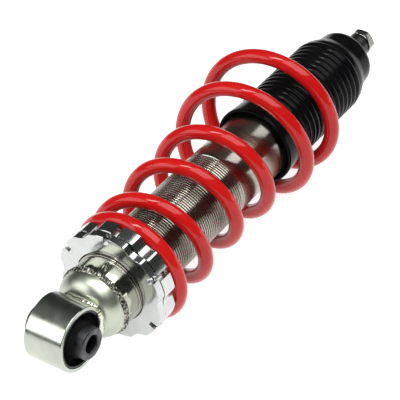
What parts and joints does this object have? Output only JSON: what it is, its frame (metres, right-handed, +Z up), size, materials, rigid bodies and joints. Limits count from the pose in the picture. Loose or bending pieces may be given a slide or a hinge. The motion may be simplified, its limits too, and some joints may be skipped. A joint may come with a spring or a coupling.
{
  "type": "coilover rear shock absorber",
  "caption": "Threaded coilover damper with an eye bush, notched height rings, a red coil spring, a dust boot and a studded rod.",
  "frame": {"origin": "centre of the lower eye's bore", "axes": "+X along the damper towards the top nut, Y along the lower eye's bolt, +Z up with the shock lying level"},
  "size_m": [0.3833, 0.1011, 0.1009],
  "materials": {
    "zinc": "bright zinc plate with a faint yellow-green tint",
    "weld": "plated weld bead, rippled",
    "chrome_tube": "polished",
    "bare_steel": "machined",
    "dark_steel": "phosphated, dull",
    "ring_aluminium": "turned and tumbled, bright",
    "bush_rubber": "matte",
    "black_plastic": "satin moulding",
    "red_paint": "gloss powder coat",
    "foam": "matte microcellular foam"
  },
  "bodies": {
    "damper_body": {"eye_ring": "zinc", "bush_outer_shell": "dark_steel", "rubber_bush": "bush_rubber", "end_cap": "zinc", "eye_weld": "weld", "cap_weld": "weld", "damper_tube": "chrome_tube", "inner_cylinder": "bare_steel", "base_valve": "bare_steel", "rod_guide": "bare_steel", "oil_seal": "bush_rubber", "tube_top_cap": "zinc"},
    "bush_sleeve": {"bush_inner_sleeve": "dark_steel"},
    "spring": {"coil_spring": "red_paint"},
    "seat": {"spring_seat": "ring_aluminium"},
    "lock": {"lock_ring": "ring_aluminium"},
    "boot": {"dust_boot": "black_plastic", "bump_stop": "foam", "bump_stop_washer": "zinc"},
    "rod": {"piston_rod": "chrome_tube", "piston": "bare_steel", "piston_ring": "black_plastic", "compression_shims": "bare_steel", "rebound_shims": "bare_steel", "piston_nut": "dark_steel", "rebound_stop": "bush_rubber", "rod_spacer": "dark_steel", "top_washer": "zinc", "top_nut": "zinc"}
  },
  "joints": [
    {"name": "rod_travel", "type": "slide", "parent": "damper_body", "child": "boot", "axis": [1, 0, 0], "range_m": [-0.048, 0], "stiffness_N_per_m": 40000, "deforming": ["coil_spring"]},
    {"name": "rod_turn", "type": "hinge", "parent": "boot", "child": "rod", "pos_m": [0.3, 0, 0], "axis": [1, 0, 0], "continuous": true},
    {"name": "perch_travel", "type": "slide", "parent": "damper_body", "child": "spring", "axis": [1, 0, 0], "range_m": [0, 0.024]},
    {"name": "seat_turn", "type": "hinge", "parent": "spring", "child": "seat", "pos_m": [0.06, 0, 0], "axis": [1, 0, 0], "range_deg": [0, 4321]},
    {"name": "lock_turn", "type": "hinge", "parent": "spring", "child": "lock", "pos_m": [0.052, 0, 0], "axis": [1, 0, 0], "range_deg": [0, 4321]},
    {"name": "bush_twist", "type": "hinge", "parent": "damper_body", "child": "bush_sleeve", "pos_m": [0, 0, 0], "axis": [0, 1, 0], "range_deg": [-12, 12], "stiffness_Nm_per_rad": 50}
  ],
  "couplings": [
    {"joint": "seat_turn", "follows": "perch_travel", "rad_per_m": 3141.6},
    {"joint": "lock_turn", "follows": "perch_travel", "rad_per_m": 3141.6}
  ]
}
